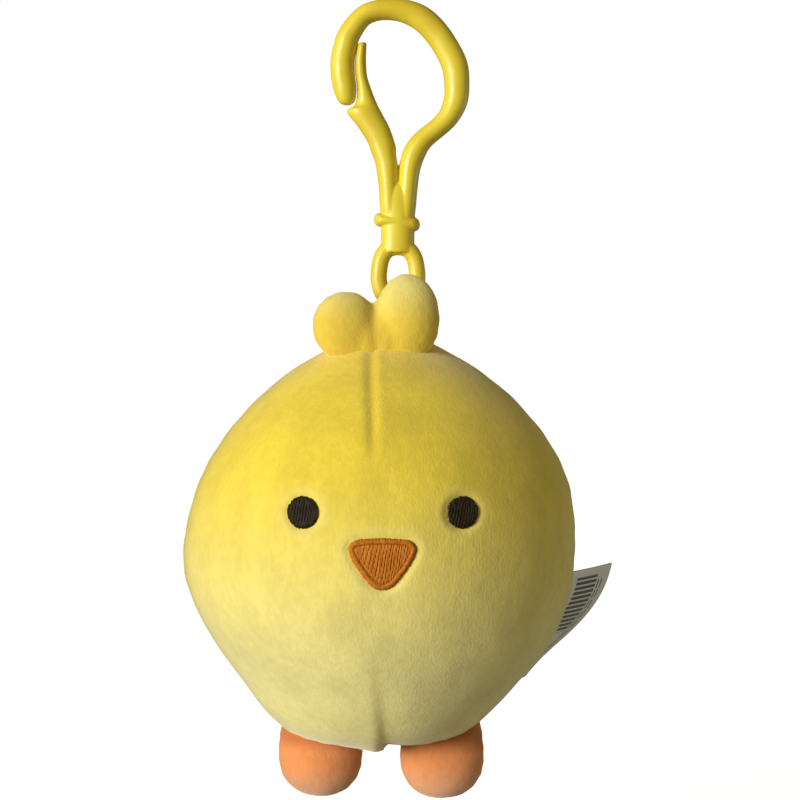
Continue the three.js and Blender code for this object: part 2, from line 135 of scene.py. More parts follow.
EYES = {"left": (-14, -92), "right": (14, -92)}  # x, z
EYE_RADIUS = 2.75
BEAK_AT = (0, -99.5)
BEAK_HALF = [  # the right half of a plain rounded triangle, from its top to its tip
    [0, 3.2],
    [2.8, 3.1],
    [5.0, 2.7],
    [6.0, 1.4],
    [5.4, -0.6],
    [3.8, -3.1],
    [2.0, -5.2],
    [0, -6.0],
]
BEAK_EDGE = BEAK_HALF + [[-x, z] for x, z in BEAK_HALF[-2:0:-1]]
BEAK_STROKE = 1.3
THREAD = 0.15  # radius of an embroidery thread
STITCH_STEP = 0.2
EYE_STEP = 0.17
STITCH_LENGTH = 3.4
EYE_LIFT = 0.5  # how far the middle of a stitch stands off the fabric
FILL_LIFT = 0.4
BORDER_LIFT = 0.6
BORDER_STEP = 0.22
CLOSING_SPAN = (-104.5, -120.5)
CLOSING_STEP = 1.5

# ---- the clip and the ribbon ----

BOW = [  # x, z, half width, half depth
    [-7.05, -16.2, 0.4, 0.5],
    [-7.05, -15.85, 1.2, 1.3],
    [-7.1, -15.0, 1.75, 1.9],
    [-7.35, -13.3, 2.15, 2.25],
    [-7.8, -10.6, 2.3, 2.25],
    [-7.85, -7.6, 2.3, 2.25],
    [-7.4, -5.3, 2.25, 2.25],
    [-6.65, -2.85, 2.15, 2.25],
    [-4.4, 0.3, 1.95, 2.25],
    [-2.1, 1.6, 1.95, 2.25],
    [0.75, 2.0, 2.0, 2.25],
    [3.8, 1.7, 2.2, 2.25],
    [6.75, 0.5, 2.4, 2.25],
    [9.3, -1.7, 2.45, 2.25],
    [11.6, -4.85, 2.45, 2.25],
    [13.4, -8.55, 2.5, 2.25],
    [13.85, -12.25, 2.4, 2.25],
    [13.6, -15.4, 2.3, 2.25],
    [12.35, -18.2, 2.05, 2.25],
    [10.65, -20.1, 1.9, 2.25],
    [8.45, -21.9, 1.9, 2.25],
    [7.0, -23.3, 2.0, 2.25],
    [5.75, -25.3, 2.15, 2.25],
    [4.95, -27.9, 2.05, 2.25],
    [4.55, -31.4, 1.9, 2.25],
    [4.15, -36.5, 1.8, 2.1],
    [3.8, -39.0, 1.5, 1.8],
]
STEM = [
    [2.65, -30.6, 0.5, 0.8],
    [2.68, -31.9, 2.2, 1.8],
    [2.66, -33.2, 3.3, 2.1],
    [2.6, -34.8, 3.4, 2.2],
    [2.62, -39.0, 3.2, 2.25],
    [2.62, -44.2, 3.15, 2.1],
]
GATE = [  # height, left and right edges, half depth
    [-38.5, 0.0, 3.0, 1.8],
    [-35.5, -0.75, 2.95, 2.1],
    [-31.5, -1.0, 2.75, 2.2],
    [-27.6, -1.6, 2.6, 2.2],
    [-25.6, -2.2, 2.3, 2.2],
    [-23.8, -2.85, 2.15, 2.2],
    [-21.9, -3.9, 1.6, 2.2],
    [-20.1, -5.1, 0.9, 2.2],
    [-19.0, -6.0, 0.3, 2.2],
    [-17.9, -6.85, -0.3, 2.2],
    [-17.3, -7.0, -0.6, 2.15],
    [-16.95, -6.85, -0.8, 2.1],
    [-16.7, -6.3, -0.95, 1.9],
    [-16.4, -5.8, -1.1, 1.7],
    [-15.5, -5.3, -1.5, 1.6],
    [-14.4, -5.15, -1.95, 1.6],
    [-12.9, -5.15, -2.5, 1.6],
    [-10.6, -5.42, -3.2, 1.6],
    [-7.8, -5.5, -3.4, 1.6],
    [-5.7, -5.2, -3.35, 1.6],
    [-4.9, -5.05, -3.3, 1.5],
    [-4.45, -4.85, -3.35, 1.2],
    [-4.3, -4.3, -3.5, 0.5],
]
GATE_PIVOT = (0.5, -27.55)
GATE_AJAR = math.radians(12)  # it is skinned a little open, so that it does not fuse with the nose
GATE_CUT_Z = -27.2  # the gate's own mesh starts here, and bends from here up
GATE_BEND_END = -23.5
GATE_INSIDE = (-0.85, 0, -22.4)  # a place on the gate, from which its faces are gathered
COLLAR = (2.45, -38.4, 8.9, 1.5)  # x, z, length, radius
COLLAR_TILT = math.radians(7)
EYE_X = 2.66
EYE_WIRE = 1.57
EYE_PATH = [  # half of the eye's ring, top to bottom: offset from its middle, and height
    [0, -43.15],
    [1.9, -43.6],
    [3.05, -45.1],
    [3.55, -47.3],
    [3.58, -49.9],
    [2.55, -52.4],
    [0, -53.45],
]
CLIP_VOXEL = 0.17
RIBBON_WIDTH = 2.2
RIBBON_THICK = 0.45
RIBBON_BEND = 2.52  # radius of the ribbon's middle, round the wire
CROWN = (0.8, -58.6)

# ---- the label ----

LABEL_FROM, LABEL_TO = -105.0, -128.5
LABEL_WIDTH = 15.0
LABEL_BOW = 0.75  # how much of the seam's curve shows again in the free edge
LABEL_OUT = (0.58, 0.81, 0.06)

# ---- colours, linear ----

YELLOW_TOP = (0.86, 0.65, 0.055)
YELLOW_LOW = (0.88, 0.78, 0.30)
# painted shade for the seams, darts and folds of the body and the tuft
YELLOW_CREASE_SHADE = (0.52, 0.34, 0.03)
# the tuft's yellow with painted sheen towards its top, and with painted shade towards its base
TUFT_SHEEN_TOP = (0.88, 0.75, 0.22)
TUFT_SHADED_BASE = (0.80, 0.57, 0.065)
FOOT_ORANGE = (0.86, 0.31, 0.105)
# the feet's orange with painted sheen towards the toes
FOOT_SHEEN_TOE = (0.88, 0.43, 0.23)
# painted shade for the feet's seams and the shadow under the body's hem
FOOT_CREASE_SHADE = (0.42, 0.11, 0.03)
PLASTIC_YELLOW = (0.83, 0.66, 0.045)
PLASTIC_DEEP = (0.76, 0.56, 0.03)
RIBBON_YELLOW = (0.80, 0.58, 0.08)
EYE_BLACK = (0.018, 0.010, 0.003)
STITCH_GAP_SHADE = (0.10, 0.035, 0.004)  # painted shade on the fabric seen between the stitches
BEAK_ORANGE = (0.55, 0.17, 0.008)
BEAK_BRIGHT = (0.62, 0.22, 0.02)
BORDER_ORANGE = (0.50, 0.15, 0.008)
LABEL_WHITE = (0.88, 0.86, 0.80)
STRIPE_GREY = (0.025, 0.022, 0.018)


# ---- curves and meshes ----


def smooth_line(points, count, closed=False):
    """Count points along a Catmull-Rom curve through the given ones."""
    p = np.asarray(points, float)
    spans = len(p) if closed else len(p) - 1
    u = np.linspace(0, spans, count, endpoint=not closed)
    k = np.minimum(u.astype(int), spans - 1)
    f = (u - k)[:, None]
    if closed:
        a, b, c, d = (p[(k + i) % len(p)] for i in (-1, 0, 1, 2))
    else:
        p = np.vstack([2 * p[0] - p[1], p, 2 * p[-1] - p[-2]])
        a, b, c, d = (p[k + i] for i in range(4))
    cubic = 3 * b - a - 3 * c + d
    return 0.5 * (2 * b + (c - a) * f + (2 * a - 5 * b + 4 * c - d) * f**2 + cubic * f**3)


def mesh_object(name, points, faces):
    """A smooth-shaded object from points in metres."""
    mesh = bpy.data.meshes.new(name)
    mesh.from_pydata([tuple(p) for p in points], [], [tuple(f) for f in faces])
    mesh.validate()
    mesh.shade_smooth()
    obj = bpy.data.objects.new(name, mesh)
    bpy.context.scene.collection.objects.link(obj)
    return obj


def coordinates(obj):
    co = np.empty(len(obj.data.vertices) * 3, np.float32)
    obj.data.vertices.foreach_get("co", co)
    return co.reshape(-1, 3).astype(float)


def normals(obj):
    n = np.empty(len(obj.data.vertices) * 3, np.float32)
    obj.data.vertices.foreach_get("normal", n)
    return n.reshape(-1, 3).astype(float)


def set_coordinates(obj, co):
    obj.data.vertices.foreach_set("co", np.asarray(co, np.float32).ravel())
    obj.data.update()


def set_attribute(obj, name, values):
    attribute = obj.data.attributes.get(name) or obj.data.attributes.new(name, "FLOAT", "POINT")
    attribute.data.foreach_set("value", np.asarray(values, np.float32))


def apply_modifiers(obj):
    graph = bpy.context.evaluated_depsgraph_get()
    made = bpy.data.meshes.new_from_object(obj.evaluated_get(graph))
    obj.modifiers.clear()
    obj.data = made
    obj.data.shade_smooth()


def remesh(obj, voxel, smoothing):
    """One even skin over everything in obj, with its corners rounded."""
    skin = obj.modifiers.new("skin", "REMESH")
    skin.mode = "VOXEL"
    skin.voxel_size = voxel * MM
    if smoothing:
        soft = obj.modifiers.new("soft", "SMOOTH")
        soft.iterations = smoothing
    apply_modifiers(obj)


def subdivide(obj, levels=1):
    obj.modifiers.new("fine", "SUBSURF").levels = levels
    apply_modifiers(obj)


def ring_mesh(rings, first_face=0, closed=False):
    """Faces of a tube through rings of the same number of points, with its ends filled."""
    sides = len(rings[0])
    faces = []
    spans = len(rings) if closed else len(rings) - 1
    for i in range(spans):
        here, there = i * sides, ((i + 1) % len(rings)) * sides
        for j in range(sides):
            k = (j + 1) % sides
            faces.append([here + j, here + k, there + k, there + j])
    if not closed:
        last = (len(rings) - 1) * sides
        faces.append(list(range(sides))[::-1])
        faces.append([last + j for j in range(sides)])
    return [[first_face + i for i in f] for f in faces]


class Builder:
    """Gathers tubes and patches into one mesh."""

    def __init__(self):
        self.points = []
        self.faces = []

    def add(self, rings, closed=False):
        self.faces += ring_mesh(rings, len(self.points), closed)
        self.points += [p for ring in rings for p in ring]

    def object(self, name):
        return mesh_object(name, np.array(self.points) * MM, self.faces)


def bar_rings(stations, steps, sides=32):
    """Rings along a bar in the clip's plane, through stations of x, z, half width, half depth."""
    line = smooth_line(stations, steps)
    along = np.gradient(line[:, :2], axis=0)
    along /= np.linalg.norm(along, axis=1)[:, None]
    turn = np.linspace(0, 2 * np.pi, sides, endpoint=False)
    rings = []
    for (x, z, half, deep), (dx, dz) in zip(line, along):
        out = half * np.cos(turn)
        rings.append(np.c_[x + out * dz, deep * np.sin(turn), z - out * dx])
    return rings


def upright_rings(edges, steps, sides=32):
    """Level rings up a bar, through its edges: height, left, right, half depth."""
    turn = np.linspace(0, 2 * np.pi, sides, endpoint=False)
    rings = []
    for z, left, right, deep in smooth_line(edges, steps):
        across = (left + right) / 2 + (right - left) / 2 * np.cos(turn)
        rings.append(np.c_[across, deep * np.sin(turn), np.full(sides, z)])
    return rings


def bumpy(co, size, seed=0.0):
    """Soft noise from -1 to 1 with lumps about that many millimetres across."""
    k = 1 / (size * MM)
    return np.array([noise.noise(Vector((x * k + seed, y * k, z * k))) for x, y, z in co])


def distance_to(co, line):
    """How far each point is from a line of points, in millimetres, and how far along it."""
    away = np.full(len(co), 1e9)
    share = np.zeros(len(co))
    for i, p in enumerate(line):
        d = np.linalg.norm(co - p * MM, axis=1) / MM
        nearer = d < away
        away[nearer] = d[nearer]
        share[nearer] = i / (len(line) - 1)
    return away, share


def smoothstep(value, low, high):
    t = np.clip((value - low) / (high - low), 0, 1)
    return t * t * (3 - 2 * t)


# ---- materials ----


class Shader:
    """A material's node tree, with short calls for the nodes used here."""

    def __init__(self, name):
        self.material = bpy.data.materials.new(name)
        self.material.use_nodes = True
        self.tree = self.material.node_tree
        self.surface = self.tree.nodes["Principled BSDF"]
        self.place = self.node("ShaderNodeTexCoord").outputs["Object"]

    def node(self, kind, **values):
        made = self.tree.nodes.new(kind)
        for key, value in values.items():
            setattr(made, key, value)
        return made

    def link(self, source, target):
        self.tree.links.new(source, target)

    def constants(self, **values):
        for key, value in values.items():
            self.surface.inputs[key.replace("_", " ")].default_value = value

    def noise(self, size, detail=2.0, stretch=None):
        """Noise with lumps about that many millimetres across, optionally stretched along an axis."""
        texture = self.node("ShaderNodeTexNoise")
        texture.inputs["Scale"].default_value = 1 / (size * MM)
        texture.inputs["Detail"].default_value = detail
        source = self.place
        if stretch:
            mapping = self.node("ShaderNodeMapping")
            mapping.inputs["Scale"].default_value = stretch
            self.link(self.place, mapping.inputs["Vector"])
            source = mapping.outputs["Vector"]
        self.link(source, texture.inputs["Vector"])
        return texture.outputs["Fac"]

    def spread(self, value, low, high, to_low=0.0, to_high=1.0):
        """A value's range stretched onto another, smoothly."""
        made = self.node("ShaderNodeMapRange", interpolation_type="SMOOTHSTEP")
        for key, number in zip(("From Min", "From Max", "To Min", "To Max"), (low, high, to_low, to_high)):
            made.inputs[key].default_value = number
        self.link(value, made.inputs["Value"])
        return made.outputs["Result"]

    def mix(self, factor, a, b, blend="MIX"):
        made = self.node("ShaderNodeMix", data_type="RGBA", blend_type=blend)
        for socket, value in zip((made.inputs[0], made.inputs[6], made.inputs[7]), (factor, a, b)):
            if isinstance(value, (int, float)):
                socket.default_value = value
            elif isinstance(value, tuple):
                socket.default_value = (*value, 1)
            else:
                self.link(value, socket)
        return made.outputs[2]

    def maths(self, operation, a, b):
        made = self.node("ShaderNodeMath", operation=operation)
        for socket, value in zip(made.inputs, (a, b)):
            if isinstance(value, (int, float)):
                socket.default_value = value
            else:
                self.link(value, socket)
        return made.outputs[0]

    def attribute(self, name):
        return self.node("ShaderNodeAttribute", attribute_name=name).outputs["Fac"]

    def axis(self, index):
        split = self.node("ShaderNodeSeparateXYZ")
        self.link(self.place, split.inputs[0])
        return split.outputs[index]

    def bump(self, height, strength, depth):
        made = self.node("ShaderNodeBump")
        made.inputs["Strength"].default_value = strength
        made.inputs["Distance"].default_value = depth * MM
        self.link(height, made.inputs["Height"])
        self.link(made.outputs["Normal"], self.surface.inputs["Normal"])

    def finish(self, color, roughness=None):
        self.link(color, self.surface.inputs["Base Color"])
        if roughness is not None:
            self.link(roughness, self.surface.inputs["Roughness"])
        return self.material


def plush(name, high, low, deep, from_z, to_z):
    """Short pile: brushed patches, a fine nap, painted shade down in the seams and creases, and painted
    shade between the stitches.
    """
    s = Shader(name)
    # from low at to_z up to high at from_z; on the tuft this carries painted sheen and painted shade, on
    # the feet painted sheen
    shade = s.mix(s.spread(s.axis(2), to_z * MM, from_z * MM), low, high)
    patches = s.spread(s.noise(8.0, 2.5, (1, 1, 0.6)), 0.35, 0.65, 0.93, 1.03)
    nap = s.spread(s.noise(1.1, 3.0, (1, 1, 0.55)), 0.3, 0.7, 0.955, 1.03)
    shade = s.mix(1.0, shade, s.maths("MULTIPLY", patches, nap), "MULTIPLY")
    # painted shade in the seams, darts, folds and creases
    shade = s.mix(s.maths("MULTIPLY", s.attribute("crease_shade"), 0.75), shade, deep)
    shade = s.mix(s.maths("MULTIPLY", s.attribute("pressed"), 0.12), shade, (0.95, 0.87, 0.45))
    # painted shade between the stitches
    shade = s.mix(s.attribute("under_stitch_shade"), shade, STITCH_GAP_SHADE)
    pile = s.maths("ADD", s.noise(0.4, 3.0, (1, 1, 0.6)), s.maths("MULTIPLY", s.noise(2.6, 2.0), 1.2))
    s.bump(pile, 0.4, 0.22)
    s.constants(Specular_IOR_Level=0.08, Sheen_Weight=0.7, Sheen_Roughness=0.45)
    s.surface.inputs["Sheen Tint"].default_value = (1.0, 0.96, 0.78, 1)
    return s.finish(shade, s.spread(s.noise(3.0), 0.3, 0.7, 0.88, 1.0))


def moulded_plastic():
    """Glossy moulded plastic: a faint parting line, flow marks, and fine scuffs."""
    s = Shader("moulded_plastic")
    flow = s.noise(6.0, 2.0, (1, 1, 0.4))
    shade = s.mix(s.spread(flow, 0.35, 0.65), PLASTIC_YELLOW, PLASTIC_DEEP)
    offset = s.maths("ABSOLUTE", s.axis(1), 0)
    line = s.spread(offset, 0.05 * MM, 0.22 * MM, 1.0, 0.0)
    shade = s.mix(s.maths("MULTIPLY", line, 0.22), shade, (0.62, 0.42, 0.02))
    ripple = s.maths("MULTIPLY", s.noise(1.6, 2.0), 0.25)
    s.bump(s.maths("ADD", line, ripple), 0.35, 0.12)
    s.constants(IOR=1.49, Coat_Weight=0.06, Coat_Roughness=0.25)
    return s.finish(shade, s.spread(s.noise(2.5, 4.0), 0.35, 0.7, 0.32, 0.46))


def thread(name, color, light, stretch=(1, 1, 1)):
    """Lustrous embroidery thread, each strand a little lighter or darker."""
    s = Shader(name)
    strands = s.noise(0.5, 2.0, stretch)
    shade = s.mix(s.spread(strands, 0.35, 0.68), color, light)
    s.bump(s.noise(0.12, 2.0, stretch), 0.4, 0.05)
    s.constants(Sheen_Weight=0.04, Sheen_Roughness=0.4, Specular_IOR_Level=0.2)
    return s.finish(shade, s.spread(s.noise(1.0), 0.3, 0.7, 0.5, 0.7))


def woven(name, color, rib):
    """Ribbed woven tape, rib being the ribs' spacing along it in millimetres."""
    s = Shader(name)
    wave = s.node("ShaderNodeTexWave", wave_type="BANDS", bands_direction="Z")
    wave.inputs["Scale"].default_value = 1 / (rib * MM * 6.2)
    wave.inputs["Distortion"].default_value = 0.6
    s.link(s.place, wave.inputs["Vector"])
    ribs = wave.outputs["Fac"]
    darker = tuple(c * 0.62 for c in color)
    shade = s.mix(s.spread(ribs, 0.1, 0.6), darker, color)
    shade = s.mix(1.0, shade, s.spread(s.noise(0.7), 0.3, 0.7, 0.88, 1.08), "MULTIPLY")
    s.bump(s.maths("ADD", ribs, s.noise(0.2)), 0.5, 0.12)
    s.constants(Sheen_Weight=0.2)
    return s.finish(shade, s.spread(s.noise(0.5), 0.3, 0.7, 0.6, 0.8))


def label_cloth():
    """Satin tape printed with evenly spaced bars and dashes, no lettering."""
    s = Shader("label_cloth")
    uv = s.node("ShaderNodeUVMap").outputs["UV"]
    split = s.node("ShaderNodeSeparateXYZ")
    s.link(uv, split.inputs[0])
    across, along = split.outputs[0], split.outputs[1]
    cloth = s.mix(s.spread(s.noise(0.35, 2.0), 0.3, 0.7), LABEL_WHITE, (0.80, 0.78, 0.72))

    def band(value, low, high, edge=0.01):
        rise = s.spread(value, low - edge, low + edge)
        fall = s.spread(value, high - edge, high + edge, 1.0, 0.0)
        return s.maths("MULTIPLY", rise, fall)

    comb = s.maths("GREATER_THAN", s.maths("FRACT", s.maths("MULTIPLY", along, 24.0), 0), 0.36)
    block = s.maths("MULTIPLY", band(across, 0.16, 0.68), band(along, 0.06, 0.56))
    bars = s.maths("MULTIPLY", comb, block)
    dashes = s.maths("GREATER_THAN", s.maths("FRACT", s.maths("MULTIPLY", along, 11.0), 0), 0.2)
    lines = s.maths("ADD", band(across, 0.72, 0.75), band(across, 0.80, 0.83))
    lines = s.maths("MULTIPLY", s.maths("MULTIPLY", lines, dashes), band(along, 0.1, 0.9))
    ink = s.maths("MINIMUM", s.maths("ADD", bars, lines), 0.92)
    s.bump(s.noise(0.22, 2.0, (1, 1, 3)), 0.4, 0.06)
    s.constants(Sheen_Weight=0.2, Specular_IOR_Level=0.4)
    return s.finish(s.mix(ink, cloth, STRIPE_GREY), s.spread(s.noise(0.8), 0.3, 0.7, 0.45, 0.62))


# ---- the body ----

profile = smooth_line(BODY_PROFILE, 400)


def body_section(z):
    """Half width and middle of the body at a height."""
    order = profile[::-1]
    return np.interp(z, order[:, 2], order[:, 0]), np.interp(z, order[:, 2], order[:, 1])


def on_body(angle, z):
    """A point of the body's skin, angle 0 being the front."""
    half, middle = body_section(z)
    return np.array([middle + half * math.sin(angle), -half * BODY_DEPTH_SHARE * math.cos(angle), z])


def on_front(x, z):
    half, middle = body_section(z)
    return on_body(math.asin(max(-1, min(1, (x - middle) / max(half, 1e-6)))), z)


def seam_angle(z):
    return SEAM_SIDE + SEAM_SWEEP * float(smoothstep(-z, -SEAM_SWEEP_SPAN[0], -SEAM_SWEEP_SPAN[1]))


def body_seams():
    """The lines where the body's panels are sewn: both sides and down the back."""
    heights = np.linspace(*SEAM_ENDS, 160)
    right = np.array([on_body(seam_angle(z), z) for z in heights])
    left = np.array([on_body(-seam_angle(z), z) for z in heights])
    back = np.array([on_body(math.pi, z) for z in heights])
    return [right, left, back]


def body_skin():
    """A skin of even triangles, cast from the centre onto the body's shape."""
    turn = np.linspace(0, 2 * np.pi, 96, endpoint=False)
    rows = profile[2:-2:3]
    rings = []
    for half, middle, z in rows:
        deep = -half * BODY_DEPTH_SHARE * np.cos(turn)
        rings.append(np.c_[middle + half * np.sin(turn), deep, np.full(len(turn), z)] * MM)
    faces = ring_mesh(rings)
    shape = BVHTree.FromPolygons([tuple(p) for ring in rings for p in ring], faces)
    ball = bmesh.new()
    bmesh.ops.create_icosphere(ball, subdivisions=6, radius=1)
    centre = Vector(BODY_CENTRE) * MM
    points = [shape.ray_cast(centre, v.co.normalized())[0] for v in ball.verts]
    faces = [[v.index for v in f.verts] for f in ball.faces]
    ball.free()
    return mesh_object("body_plush", points, faces)


def face_distance(co):
    """How far each point of the front is outside the eyes' and beak's edges, in millimetres."""
    flat = co[:, [0, 2]] / MM
    away = np.full(len(co), 99.0)
    for eye in EYES.values():
        away = np.minimum(away, np.linalg.norm(flat - eye, axis=1) - EYE_RADIUS)
    edge = smooth_line(BEAK_EDGE, 120, closed=True) + BEAK_AT
    to_edge = np.min(np.linalg.norm(flat[:, None, :] - edge[None, ::2], axis=2), axis=1)
    inside = np.zeros(len(co), bool)
    for (x0, z0), (x1, z1) in zip(edge, np.roll(edge, -1, axis=0)):
        crosses = (x0 <= flat[:, 0]) != (x1 <= flat[:, 0])
        inside ^= crosses & (flat[:, 1] < z0 + (z1 - z0) * (flat[:, 0] - x0) / ((x1 - x0) or 1.0))
    away = np.minimum(away, np.where(inside, -to_edge, to_edge))
    return np.where(co[:, 1] < 0, away, 99.0)


def shape_body(obj):
    """Seams, the top dart, the bottom fold, the hollow under the embroidery, puckers and soft lumps."""
    co, outward = coordinates(obj), normals(obj)
    # marks where painted shade goes: the seams, the dart, the fold and round the feet
    crease_shade = np.zeros(len(co))
    move = 0.22 * bumpy(co, 14.0) + 0.05 * bumpy(co, 5.0, 7.0)
    for line in body_seams():
        away, share = distance_to(co, line)
        pucker = np.sin(share * len(line) * 0.55 + 2 * bumpy(co, 9.0, 3.0)) * np.exp(-((away / 4.5) ** 2))
        move += -SEAM_DEPTH * np.exp(-((away / 0.9) ** 2)) + 0.12 * np.exp(-(((away - 3.0) / 1.8) ** 2))
        move += 0.08 * pucker
        crease_shade = np.maximum(crease_shade, np.exp(-((away / 0.8) ** 2)))
    dart = np.array([on_front(x, z) for x, z in smooth_line(TOP_DART, 90)])
    away, share = distance_to(co, dart)
    fade = 1 - smoothstep(share, 0.55, 1.0)
    side = np.sign(co[:, 0] / MM - np.interp(co[:, 2] / MM, dart[::-1, 2], dart[::-1, 0]))
    groove = -DART_DEPTH * np.exp(-((away / 0.9) ** 2))
    lip = 0.1 * (side > 0) * np.exp(-(((away - 1.8) / 1.0) ** 2))
    move += fade * (groove + lip)
    crease_shade = np.maximum(crease_shade, 0.6 * fade * np.exp(-((away / 0.9) ** 2)))
    fold = np.array([on_front(x, z) for x, z in smooth_line(BOTTOM_FOLD, 90)])
    away, share = distance_to(co, fold)
    across = co[:, 0] / MM - np.interp(co[:, 2] / MM, fold[::-1, 2], fold[::-1, 0])
    front = (co[:, 1] < 0) & (co[:, 2] / MM < BOTTOM_FOLD[0][1] + 1)
    grown = smoothstep(share, 0.0, 0.85) * front
    move += -FOLD_STEP * grown * np.tanh(across / 1.3) * np.exp(-np.abs(across) / 6.0)
    move -= 0.2 * grown * np.exp(-((away / 1.0) ** 2))
    crease_shade = np.maximum(crease_shade, 0.35 * grown * np.exp(-((away / 1.0) ** 2)))
    away = face_distance(co)
    move -= HOLLOW_DEPTH * (1 - smoothstep(away, -0.4, 1.3))
    pressed = np.exp(-(((away - 0.9) / 1.1) ** 2))
    # painted shade on the fabric under the embroidery, seen between the stitches
    set_attribute(obj, "under_stitch_shade", 1 - smoothstep(away, -1.0, -0.5))
    for x, _ in FEET.values():
        spread = np.hypot(co[:, 0] / MM - x, co[:, 1] / MM)
        low = smoothstep(-co[:, 2] / MM, 128, 134)
        angle = np.arctan2(co[:, 1], co[:, 0] - x * MM)
        move += 0.07 * low * np.sin(angle * 12) * np.exp(-(((spread - 7.5) / 2.5) ** 2))
        # painted shadow on the body round the tops of the feet
        crease_shade = np.maximum(crease_shade, 0.5 * low * np.exp(-(((spread - 7.2) / 1.6) ** 2)))
    co += outward * (move * MM)[:, None]
    hem = smoothstep(-co[:, 2] / MM, -HEM_Z, -HEM_Z + 2.2) * (co[:, 1] < 4 * MM)
    left, right = np.minimum(across + 0.2, 0), np.maximum(across + 0.2, 0)
    co[:, 2] -= hem * MM * (0.5 * np.exp(-((left / 4.0) ** 2)) * (across < 0))
    co[:, 2] += hem * MM * (0.5 * np.exp(-((right / 3.0) ** 2)) * (across >= 0))
    set_coordinates(obj, co)
    set_attribute(obj, "crease_shade", crease_shade)
    set_attribute(obj, "pressed", pressed)


def make_body():
    body = body_skin()
    subdivide(body)
    shape_body(body)
    body.data.materials.append(plush("body_pile_fabric", YELLOW_TOP, YELLOW_LOW, YELLOW_CREASE_SHADE, -80, -128))
    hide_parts("body_front_panel", "body_back_right_panel", "body_back_left_panel", "body_stuffing")
    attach(body, "plush")
    return body


# ---- the tuft and the feet ----


def ellipsoid_rings(x, y, z, half, deep, high, rows=24, sides=40):
    turn = np.linspace(0, 2 * np.pi, sides, endpoint=False)
    rings = []
    for tip in np.linspace(0.04, np.pi - 0.04, rows):
        r = math.sin(tip)
        height = np.full(sides, z + high * math.cos(tip))
        rings.append(np.c_[x + half * r * np.cos(turn), y + deep * r * np.sin(turn), height])
    return rings


def make_tuft():
    parts = Builder()
    for x, z, half, deep, high in TUFT_LOBES:
        parts.add(ellipsoid_rings(x, TUFT_Y, z, half - 0.35, deep - 0.1, high - 0.2))
    tuft = parts.object("tuft_plush")
    remesh(tuft, 0.75, 10)
    subdivide(tuft)
    co, outward = coordinates(tuft), normals(tuft)
    beside = np.abs(co[:, 1] / MM - TUFT_Y)
    seam = np.exp(-((beside / 0.55) ** 2))
    valley = np.array([[x, TUFT_Y, z] for x, z in smooth_line(TUFT_VALLEY, 60)])
    flat = co * [1, 0, 1] + [0, TUFT_Y * MM, 0]
    into = np.exp(-((distance_to(flat, valley)[0] / 1.1) ** 2)) * (co[:, 1] / MM < TUFT_Y - 1)
    move = 0.22 - 0.3 * seam + 0.07 * bumpy(co, 6.0, 2.0) - 0.32 * into
    move += 0.05 * np.sin(co[:, 0] / MM * 2.2 + co[:, 2] / MM * 1.9) * np.exp(-((beside / 2.0) ** 2))
    set_coordinates(tuft, co + outward * (move * MM)[:, None])
    set_attribute(tuft, "crease_shade", np.maximum(seam * 0.25, into * 0.4))
    set_attribute(tuft, "pressed", np.zeros(len(co)))
    tuft.data.materials.append(plush("tuft_pile_fabric", TUFT_SHEEN_TOP, TUFT_SHADED_BASE, YELLOW_CREASE_SHADE, -49.5, -59))
    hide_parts("tuft_front_panel", "tuft_back_panel", "tuft_stuffing")
    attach(tuft, "plush")


def make_foot(side, x, bottom):
    turn = np.linspace(0, 2 * np.pi, 44, endpoint=False)
    rings = []
    for high, half, deep in smooth_line(FOOT_STATIONS, 40):
        height = np.full(len(turn), bottom + max(high, 0))
        rings.append(np.c_[x + half * np.sin(turn), -deep * np.cos(turn), height])
    parts = Builder()
    parts.add(rings)
    foot = parts.object(side + "_foot_plush")
    remesh(foot, 0.8, 6)
    subdivide(foot)
    co, outward = coordinates(foot), normals(foot)
    beside = np.abs(co[:, 1] / MM)
    seam = np.exp(-((beside / 0.55) ** 2))
    seed = 11.0 if side == "left" else 17.0
    move = 0.14 - 0.3 * seam + 0.09 * bumpy(co, 6.0, seed)
    move += 0.05 * np.sin(co[:, 2] / MM * 2.4 + co[:, 0] / MM) * np.exp(-((beside / 2.2) ** 2))
    set_coordinates(foot, co + outward * (move * MM)[:, None])
    # painted shadow on the foot's top, under the body's hem
    hem_shadow = smoothstep(co[:, 2] / MM, bottom + 8.5, bottom + 12.0)
    set_attribute(foot, "crease_shade", np.maximum(seam * 0.3, hem_shadow * 0.85))
    set_attribute(foot, "pressed", np.zeros(len(co)))
    fabric = bpy.data.materials.get("foot_pile_fabric")
    if fabric is None:
        fabric = plush("foot_pile_fabric", FOOT_ORANGE, FOOT_SHEEN_TOE, FOOT_CREASE_SHADE, -140, -147)
    foot.data.materials.append(fabric)
    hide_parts(side + "_foot_front_panel", side + "_foot_back_panel", side + "_foot_stuffing")
    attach(foot, "plush")


# ---- the embroidery ----


